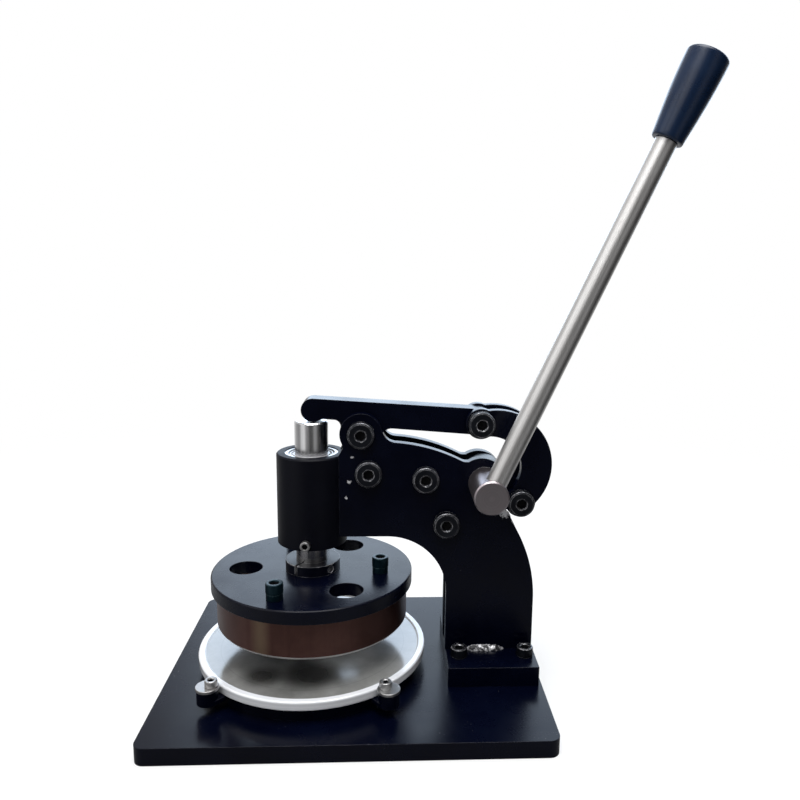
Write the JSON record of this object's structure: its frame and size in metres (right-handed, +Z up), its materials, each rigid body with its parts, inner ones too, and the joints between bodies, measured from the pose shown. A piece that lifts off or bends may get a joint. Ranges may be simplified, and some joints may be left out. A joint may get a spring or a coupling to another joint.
{
  "type": "circular sample cutter",
  "caption": "Bench press for cutting round samples: a lever turns a crank that tips a rocker, and the rocker pushes a ram with a round die on to a cutting mat.",
  "frame": {"origin": "where the ram's axis meets the underside of the base plate", "axes": "+Z up along the ram's axis, +X from the ram to the column, -Y towards the operator"},
  "size_m": [0.3067, 0.175, 0.3706],
  "materials": {
    "black_paint": "satin",
    "black_screw": "satin",
    "die_brown": "satin",
    "mat_white": "satin",
    "ground_steel": "satin",
    "plated_steel": "gloss",
    "bronze": "satin",
    "grip_plastic": "gloss",
    "seal_rubber": "matte"
  },
  "bodies": {
    "frame": {"base_plate": "black_paint", "anvil": "black_paint", "anvil_screws": "plated_steel", "cutting_mat": "mat_white", "mat_washers": "plated_steel", "mat_screws": "plated_steel", "foot_block": "black_paint", "foot_screws": "black_screw", "frame_plate_front": "black_paint", "frame_plate_rear": "black_paint", "weld_beads": "ground_steel", "barrel_lug": "black_paint", "frame_spacers": "ground_steel", "frame_bolts": "black_screw", "frame_nuts": "black_screw", "rocker_pivot_bolt": "black_screw", "rocker_pivot_nut": "black_screw", "hub_bushes": "bronze", "barrel": "black_paint", "upper_bush": "plated_steel", "wiper_seal": "seal_rubber", "bush_circlip": "plated_steel", "lower_bush": "bronze", "stop_screw": "plated_steel", "spring_seat": "ground_steel"},
    "handle": {"hub_shaft": "ground_steel", "crank": "black_paint", "crank_key": "ground_steel", "crank_bush": "bronze", "hub_end_washer": "plated_steel", "hub_end_screw": "black_screw", "handle_rod": "ground_steel", "handle_grip": "grip_plastic", "grip_insert": "bronze"},
    "rocker": {"rocker": "black_paint", "rocker_bush": "bronze"},
    "link": {"link_plate_front": "black_paint", "link_plate_rear": "black_paint", "link_bolts": "black_screw", "link_nuts": "black_screw"},
    "ram_unit": {"ram": "plated_steel", "ram_circlip": "plated_steel", "spring_collar": "ground_steel", "return_spring": "ground_steel", "die_plate": "black_paint", "clamp_collar": "black_screw", "collar_grub_screw": "plated_steel", "collar_screws": "black_screw", "ram_end_washer": "plated_steel", "ram_end_screw": "black_screw", "die_ring": "die_brown", "die_screws": "black_screw", "die_screw_sleeves": "black_screw"}
  },
  "joints": [
    {"name": "handle_pivot", "type": "hinge", "parent": "frame", "child": "handle", "pos_m": [0.104, 0, 0.129], "axis": [0, -1, 0], "range_deg": [0, 115]},
    {"name": "rocker_pivot", "type": "hinge", "parent": "frame", "child": "rocker", "pos_m": [0.03, 0, 0.1585], "axis": [0, -1, 0], "range_deg": [0, 34.5]},
    {"name": "link_pivot", "type": "hinge", "parent": "handle", "child": "link", "pos_m": [0.126, 0, 0.117], "axis": [0, -1, 0], "range_deg": [-120.1, 0]},
    {"name": "ram_slide", "type": "slide", "parent": "frame", "child": "ram_unit", "axis": [0, 0, -1], "range_m": [0, 0.01845], "stiffness_N_per_m": 1300, "springref_m": -0.02, "deforming": ["return_spring"]}
  ],
  "couplings": [
    {"joint": "rocker_pivot", "follows": "handle_pivot", "ratio": 0.29948},
    {"joint": "link_pivot", "follows": "handle_pivot", "ratio": -1.0436},
    {"joint": "ram_slide", "follows": "handle_pivot", "m_per_rad": 0.0091822}
  ]
}
